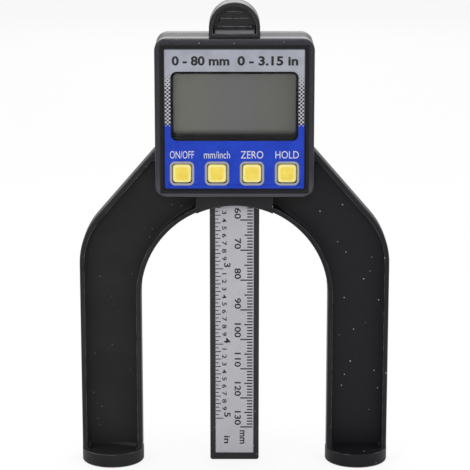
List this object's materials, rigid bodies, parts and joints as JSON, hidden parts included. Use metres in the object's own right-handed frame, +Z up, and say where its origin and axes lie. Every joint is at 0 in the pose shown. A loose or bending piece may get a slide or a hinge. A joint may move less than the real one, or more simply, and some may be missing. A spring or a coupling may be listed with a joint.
{
  "type": "table saw height gauge",
  "caption": "Arch-legged stand with a square digital head, push keys, a graduated sliding rule with a finger tab, and a lock knob; it measures blade or bit height.",
  "frame": {"origin": "middle of the rule's tip, on the surface that the gauge stands on", "axes": "+Z up along the rule, +Y from the display towards the back, +X to the right seen from the front"},
  "size_m": [0.1006, 0.0273, 0.1522],
  "materials": {
    "frame": "black moulded plastic, semi-gloss",
    "foot_magnets": "nickel-plated disc magnets",
    "front_case": "black moulded plastic, fine texture",
    "back_case": "black moulded plastic, fine texture",
    "housing_screws": "black zinc steel screws",
    "label_sheet": "printed polycarbonate sheet, silver and blue",
    "window_pane": "clear acrylic pane",
    "display_gasket": "black foam",
    "display_glass": "grey-green liquid-crystal glass",
    "zebra_strips": "conductive silicone rubber",
    "circuit_board": "green solder mask on glass laminate",
    "measuring_chip": "black moulded package",
    "board_screws": "zinc-plated steel",
    "button_switches": "push switches, steel cover",
    "button_cell": "nickel-plated steel can",
    "cell_contact_plus": "nickel-plated bronze leaf",
    "cell_contact_minus": "nickel-plated bronze leaf",
    "gib_spring": "spring steel leaf",
    "lock_insert": "turned brass bush",
    "rule_beam": "black painted steel bar",
    "scale_strip": "etched strip on glass laminate",
    "scale_plate": "satin silver printed plate",
    "finger_tab": "black moulded plastic",
    "tab_screws": "black zinc steel screws",
    "button_on_off": "yellow moulded key",
    "button_unit": "yellow moulded key",
    "button_zero": "yellow moulded key",
    "button_hold": "yellow moulded key",
    "battery_cover": "black moulded plastic",
    "lock_pad": "natural nylon",
    "lock_stud": "zinc-plated steel thread",
    "lock_knob": "black moulded plastic"
  },
  "bodies": {
    "root": {"frame": "frame", "foot_magnets": "foot_magnets", "front_case": "front_case", "back_case": "back_case", "housing_screws": "housing_screws", "label_sheet": "label_sheet", "window_pane": "window_pane", "display_gasket": "display_gasket", "display_glass": "display_glass", "zebra_strips": "zebra_strips", "circuit_board": "circuit_board", "measuring_chip": "measuring_chip", "board_screws": "board_screws", "button_switches": "button_switches", "button_cell": "button_cell", "cell_contact_plus": "cell_contact_plus", "cell_contact_minus": "cell_contact_minus", "gib_spring": "gib_spring", "lock_insert": "lock_insert"},
    "rule": {"rule_beam": "rule_beam", "scale_strip": "scale_strip", "scale_plate": "scale_plate", "finger_tab": "finger_tab", "tab_screws": "tab_screws"},
    "button_on_off": {"button_on_off": "button_on_off"},
    "button_unit": {"button_unit": "button_unit"},
    "button_zero": {"button_zero": "button_zero"},
    "button_hold": {"button_hold": "button_hold"},
    "battery_cover": {"battery_cover": "battery_cover"},
    "lock_pad": {"lock_pad": "lock_pad"},
    "lock_knob": {"lock_knob": "lock_knob", "lock_stud": "lock_stud"}
  },
  "joints": [
    {"name": "rule_slide", "type": "slide", "parent": "root", "child": "rule", "axis": [0, 0, 1], "range_m": [0, 0.08]},
    {"name": "button_on_off_press", "type": "slide", "parent": "root", "child": "button_on_off", "axis": [0, 1, 0], "range_m": [0, 0.0005], "stiffness_N_per_m": 2000, "springref_m": -0.0002},
    {"name": "button_unit_press", "type": "slide", "parent": "root", "child": "button_unit", "axis": [0, 1, 0], "range_m": [0, 0.0005], "stiffness_N_per_m": 2000, "springref_m": -0.0002},
    {"name": "button_zero_press", "type": "slide", "parent": "root", "child": "button_zero", "axis": [0, 1, 0], "range_m": [0, 0.0005], "stiffness_N_per_m": 2000, "springref_m": -0.0002},
    {"name": "button_hold_press", "type": "slide", "parent": "root", "child": "button_hold", "axis": [0, 1, 0], "range_m": [0, 0.0005], "stiffness_N_per_m": 2000, "springref_m": -0.0002},
    {"name": "battery_cover_slide", "type": "slide", "parent": "root", "child": "battery_cover", "axis": [1, 0, 0], "range_m": [0, 0.017]},
    {"name": "lock_feed", "type": "slide", "parent": "root", "child": "lock_pad", "axis": [0, -1, 0], "range_m": [-0.0007, 0.00019]},
    {"name": "lock_turn", "type": "hinge", "parent": "lock_pad", "child": "lock_knob", "pos_m": [0, 0.0103, 0.1036], "axis": [0, -1, 0], "range_deg": [-361, 100]}
  ],
  "couplings": [
    {"joint": "lock_turn", "follows": "lock_feed", "rad_per_m": 8976}
  ]
}
